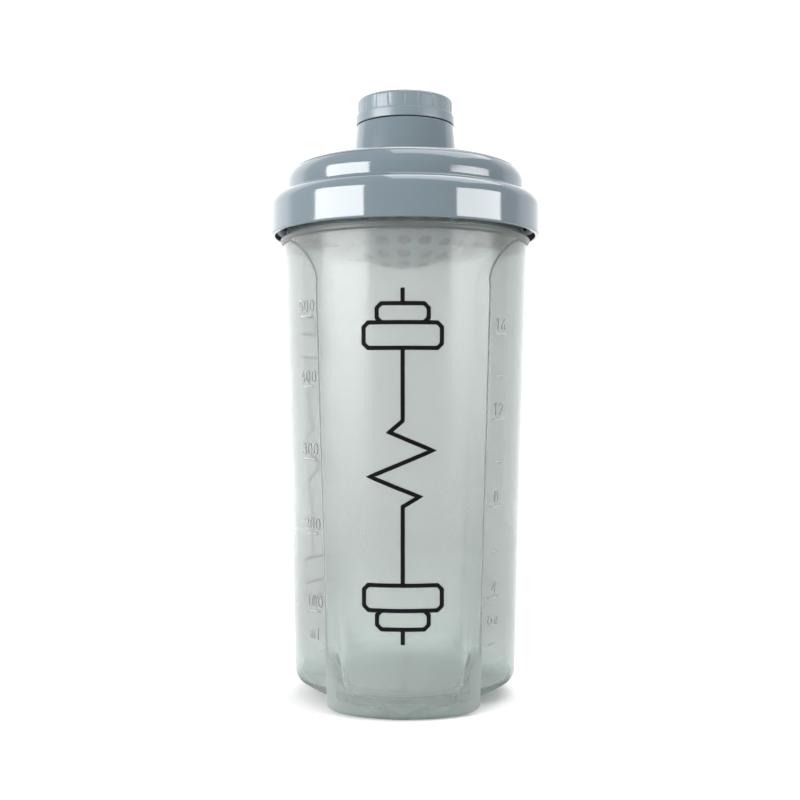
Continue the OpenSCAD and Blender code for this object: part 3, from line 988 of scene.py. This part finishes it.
def build_materials():
    cup = cup_plastic()
    gloss = lid_plastic()
    satin = plastic("cap_plastic", (0.100, 0.127, 0.143), (0.092, 0.117, 0.132), 0.32, 0.03, 500, 0.00003,
                    IOR=1.45)
    sieve = plastic("sieve_plastic", (0.32, 0.45, 0.47), (0.29, 0.42, 0.44), 0.33, 0.04, 400, 0.00003,
                    IOR=1.5)
    rubber = plastic("silicone", (0.42, 0.45, 0.46), (0.36, 0.39, 0.40), 0.55, 0.06, 900, 0.00004,
                     IOR=1.41)
    ink = plastic("black_ink", (0.003, 0.003, 0.004), (0.005, 0.005, 0.006), 0.6, 0.08, 2500, 0.00001,
                  IOR=1.3, Specular_IOR_Level=0.05)
    return cup, gloss, satin, sieve, rubber, ink


# ---- stage -----------------------------------------------------------------------------


def build_camera():
    """Level camera a little to the right of the printed front, just under half the bottle's height."""
    turn = math.radians(CAMERA_TURN)
    data = bpy.data.cameras.new("camera")
    data.lens = LENS
    data.sensor_width = 36.0
    data.clip_start = 0.01
    data.clip_end = 50
    camera = bpy.data.objects.new("camera", data)
    ahead = np.array([-math.sin(turn), math.cos(turn)])
    right = np.array([math.cos(turn), math.sin(turn)])
    camera.location = (*(-ahead * CAMERA_AWAY - right * CAMERA_ASIDE), CAMERA_Z)
    camera.rotation_euler = (math.radians(90), 0, turn)
    SCENE.collection.objects.link(camera)
    SCENE.camera = camera


def build_floor():
    """Pale paper that fades out into the white surroundings."""
    size = 1.6
    mesh = bpy.data.meshes.new("floor")
    corners = [(-size, -size, 0), (size, -size, 0), (size, size, 0), (-size, size, 0)]
    mesh.from_pydata(corners, [], [(0, 1, 2, 3)])
    floor = bpy.data.objects.new("floor", mesh)
    n = Nodes("floor_paper")
    n.link(n.mix(n.noise(3, 3), (0.62, 0.62, 0.62), (0.64, 0.64, 0.64)), n.shader.inputs["Base Color"])
    n.shader.inputs["Roughness"].default_value = 0.9
    n.shader.inputs["Specular IOR Level"].default_value = 0.1
    place = n.add("ShaderNodeTexCoord")
    length = n.add("ShaderNodeVectorMath", operation="LENGTH")
    n.link(place.outputs["Object"], length.inputs[0])
    fade = n.ramp(length.outputs["Value"], 0.16, 0.55, 0, 1)
    clear = n.add("ShaderNodeBsdfTransparent")
    blend = n.add("ShaderNodeMixShader")
    n.link(fade, blend.inputs[0])
    n.link(n.shader.outputs[0], blend.inputs[1])
    n.link(clear.outputs[0], blend.inputs[2])
    n.link(blend.outputs[0], n.tree.nodes["Material Output"].inputs["Surface"])
    mesh.materials.append(n.material)
    SCENE.collection.objects.link(floor)


def softbox(name, azimuth, low, high, width, radiance):
    """Upright rectangular light that faces the bottle; azimuth is counted from the front towards +X."""
    height = high - low
    data = bpy.data.lights.new(name, "AREA")
    data.shape = "RECTANGLE"
    data.size, data.size_y = width, height
    data.energy = radiance * math.pi * width * height
    lamp = bpy.data.objects.new(name, data)
    a = math.radians(azimuth)
    lamp.location = (LIGHT_AWAY * math.sin(a), -LIGHT_AWAY * math.cos(a), (low + high) / 2)
    lamp.rotation_euler = (math.pi / 2, 0, a)
    SCENE.collection.objects.link(lamp)


def build_world():
    """White room with a brighter backdrop behind the bottle, a little stronger on the left."""
    world = bpy.data.worlds.new("studio")
    SCENE.world = world
    world.use_nodes = True
    tree = world.node_tree
    place = tree.nodes.new("ShaderNodeTexCoord")
    split = tree.nodes.new("ShaderNodeSeparateXYZ")
    tree.links.new(place.outputs["Generated"], split.inputs[0])
    wall = tree.nodes.new("ShaderNodeMapRange")
    wall.interpolation_type = "SMOOTHSTEP"
    for key, number in (("From Min", 0.24), ("From Max", 0.44), ("To Min", 1.0), ("To Max", BACKDROP)):
        wall.inputs[key].default_value = number
    tree.links.new(split.outputs["Y"], wall.inputs["Value"])
    side = tree.nodes.new("ShaderNodeMapRange")
    for key, number in (("From Min", -1.0), ("From Max", 1.0), ("To Min", 1.12), ("To Max", 0.68)):
        side.inputs[key].default_value = number
    tree.links.new(split.outputs["X"], side.inputs["Value"])
    product = tree.nodes.new("ShaderNodeMath")
    product.operation = "MULTIPLY"
    tree.links.new(wall.outputs["Result"], product.inputs[0])
    tree.links.new(side.outputs["Result"], product.inputs[1])
    tree.links.new(product.outputs[0], tree.nodes["Background"].inputs["Strength"])
    tree.nodes["Background"].inputs["Color"].default_value = (1, 1, 1, 1)


def top_light(height, size, radiance):
    """Square light that hangs over the bottle."""
    data = bpy.data.lights.new("top_softbox", "AREA")
    data.shape = "SQUARE"
    data.size = size
    data.energy = radiance * math.pi * size * size
    lamp = bpy.data.objects.new("top_softbox", data)
    lamp.location = (0.45, 0.1, height)
    SCENE.collection.objects.link(lamp)


def build_lights():
    build_world()
    top_light(1.3, 1.2, 4.0)
    softbox("left_softbox", -54.5, 0.02, 0.52, 0.74, 15)
    softbox("right_softbox", 64, 0.02, 0.36, 0.69, 12)


build_camera()
SCENE.view_settings.view_transform = "Standard"
SCENE.cycles.max_bounces = 16
SCENE.cycles.transmission_bounces = 16
cup_wall, gloss, satin, sieve_material, rubber, ink = build_materials()
build_cup(cup_wall)
build_print(ink)
build_lid(gloss)
build_cap(satin)
build_seals(rubber)
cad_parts["sieve"].data.materials.clear()
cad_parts["sieve"].data.materials.append(sieve_material)
build_floor()
build_lights()
